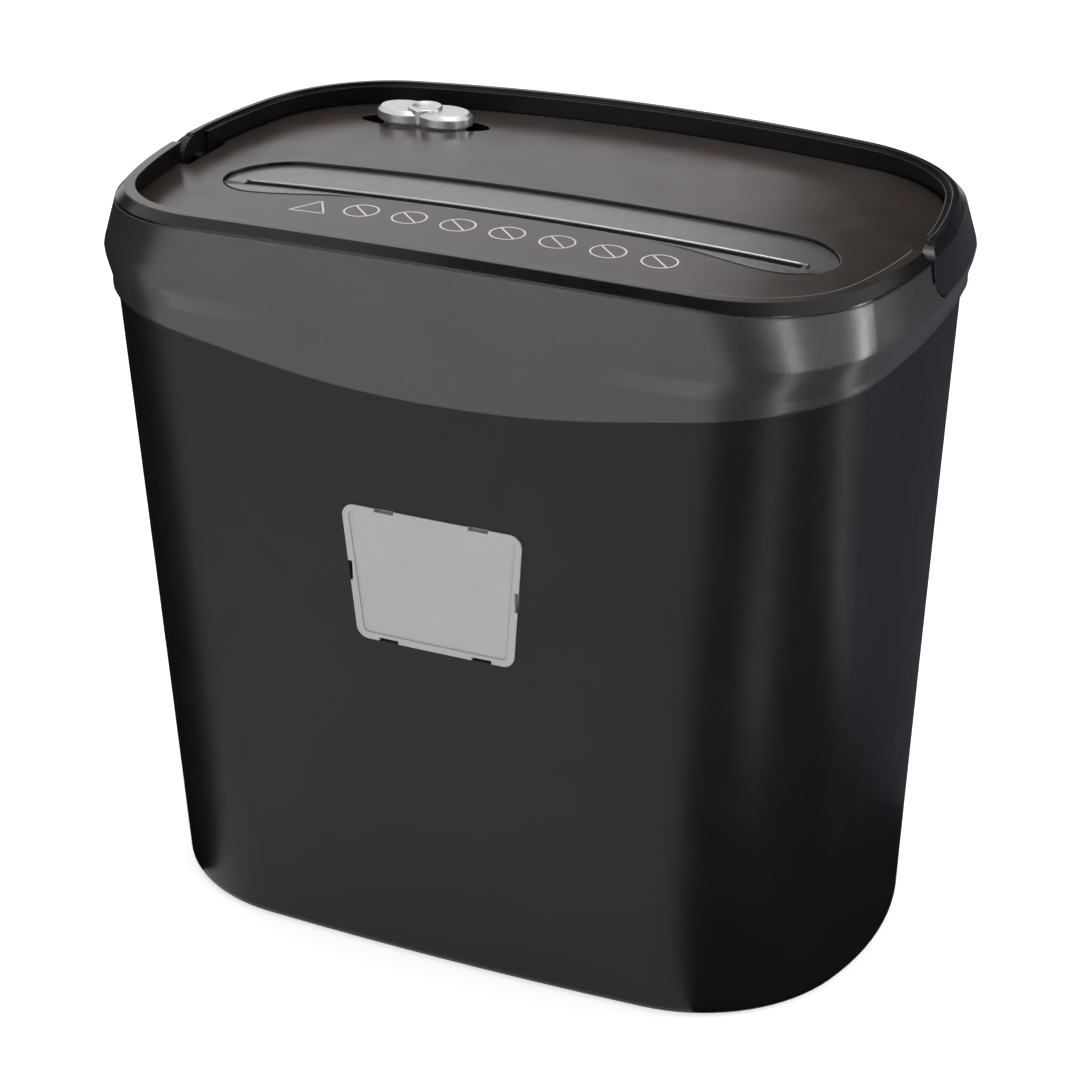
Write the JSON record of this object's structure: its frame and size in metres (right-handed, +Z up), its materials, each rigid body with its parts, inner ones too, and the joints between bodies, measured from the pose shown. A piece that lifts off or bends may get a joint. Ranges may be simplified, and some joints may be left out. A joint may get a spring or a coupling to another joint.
{
  "type": "paper shredder",
  "caption": "Desk-side paper shredder: a lift-off cutting head with a folding carry handle, feed slot and mode slide, on a tapered waste bin with a window.",
  "frame": {"origin": "centre of the bin's base, on the floor", "axes": "+X to the right along the feed slot, -Y towards the front with the window, +Z up"},
  "size_m": [0.318, 0.1996, 0.2965],
  "materials": {
    "bin_shell": "satin",
    "window_plastic": "frosted",
    "head_shell": "satin",
    "top_shell": "gloss",
    "handle_plastic": "satin",
    "silver_plastic": "metallic paint",
    "black_plastic": "matte",
    "steel": "machined",
    "bronze": "sintered",
    "gear_nylon": "moulded",
    "copper": "enamelled",
    "board": "coated",
    "relay_plastic": "matte"
  },
  "bodies": {
    "bin": {"bin": "bin_shell", "bin_window": "window_plastic"},
    "head": {"head_cover": "head_shell", "top_panel": "top_shell", "feed_bezel": "silver_plastic", "feed_chute": "black_plastic", "handle_pivots": "steel", "head_base": "black_plastic", "left_side_plate": "steel", "right_side_plate": "steel", "tie_rods": "steel", "plate_screws": "steel", "shaft_bushes": "bronze", "front_comb": "black_plastic", "rear_comb": "black_plastic", "gear_studs": "steel", "stud_clips": "steel", "motor_field_core": "steel", "motor_coils": "copper", "motor_drive_bracket": "steel", "motor_brush_bracket": "black_plastic", "motor_brushes": "bronze", "motor_screws": "steel", "cover_screws": "steel", "control_board": "board", "board_stand_offs": "black_plastic", "relay": "relay_plastic", "suppression_capacitor": "black_plastic", "terminal_block": "black_plastic", "mode_switch": "black_plastic", "feed_sensors": "black_plastic", "interlock_switch": "black_plastic", "cord_gland": "black_plastic"},
    "handle": {"carry_handle": "handle_plastic"},
    "knob": {"mode_knob": "silver_plastic"},
    "front_shaft": {"front_cutter": "steel", "front_timing_gear": "gear_nylon", "front_shaft_clips": "steel"},
    "rear_shaft": {"rear_cutter": "steel", "rear_timing_gear": "gear_nylon", "drive_gear": "gear_nylon", "rear_shaft_clips": "steel"},
    "second_gear": {"second_reduction_gear": "gear_nylon"},
    "first_gear": {"first_reduction_gear": "gear_nylon"},
    "rotor": {"motor_shaft": "steel", "motor_pinion": "steel", "armature": "steel", "commutator": "copper", "cooling_fan": "black_plastic"},
    "plunger": {"interlock_plunger": "black_plastic"}
  },
  "joints": [
    {"name": "head_lift", "type": "slide", "parent": "bin", "child": "head", "axis": [0, 0, 1], "range_m": [0, 0.12]},
    {"name": "handle_hinge", "type": "hinge", "parent": "head", "child": "handle", "pos_m": [0, 0.001, 0.281], "axis": [1, 0, 0], "range_deg": [0, 90]},
    {"name": "mode_slide", "type": "slide", "parent": "head", "child": "knob", "axis": [1, 0, 0], "range_m": [-0.005, 0.005]},
    {"name": "rear_cutter_spin", "type": "hinge", "parent": "head", "child": "rear_shaft", "pos_m": [0, -0.008, 0.258], "axis": [1, 0, 0], "continuous": true},
    {"name": "front_cutter_spin", "type": "hinge", "parent": "head", "child": "front_shaft", "pos_m": [0, -0.041, 0.258], "axis": [1, 0, 0], "continuous": true},
    {"name": "second_gear_spin", "type": "hinge", "parent": "head", "child": "second_gear", "pos_m": [0, 0.01666, 0.249], "axis": [1, 0, 0], "continuous": true},
    {"name": "first_gear_spin", "type": "hinge", "parent": "head", "child": "first_gear", "pos_m": [0, 0.03441, 0.262], "axis": [1, 0, 0], "continuous": true},
    {"name": "rotor_spin", "type": "hinge", "parent": "head", "child": "rotor", "pos_m": [0, 0.05381, 0.2525], "axis": [1, 0, 0], "continuous": true},
    {"name": "interlock_slide", "type": "slide", "parent": "head", "child": "plunger", "axis": [0, 0, -1], "range_m": [0, 0.004]}
  ],
  "couplings": [
    {"joint": "front_cutter_spin", "follows": "rear_cutter_spin", "ratio": -1},
    {"joint": "second_gear_spin", "follows": "rear_cutter_spin", "ratio": -2.5},
    {"joint": "first_gear_spin", "follows": "rear_cutter_spin", "ratio": 8.5},
    {"joint": "rotor_spin", "follows": "rear_cutter_spin", "ratio": -37.4},
    {"joint": "interlock_slide", "follows": "head_lift", "ratio": 0.0333}
  ]
}
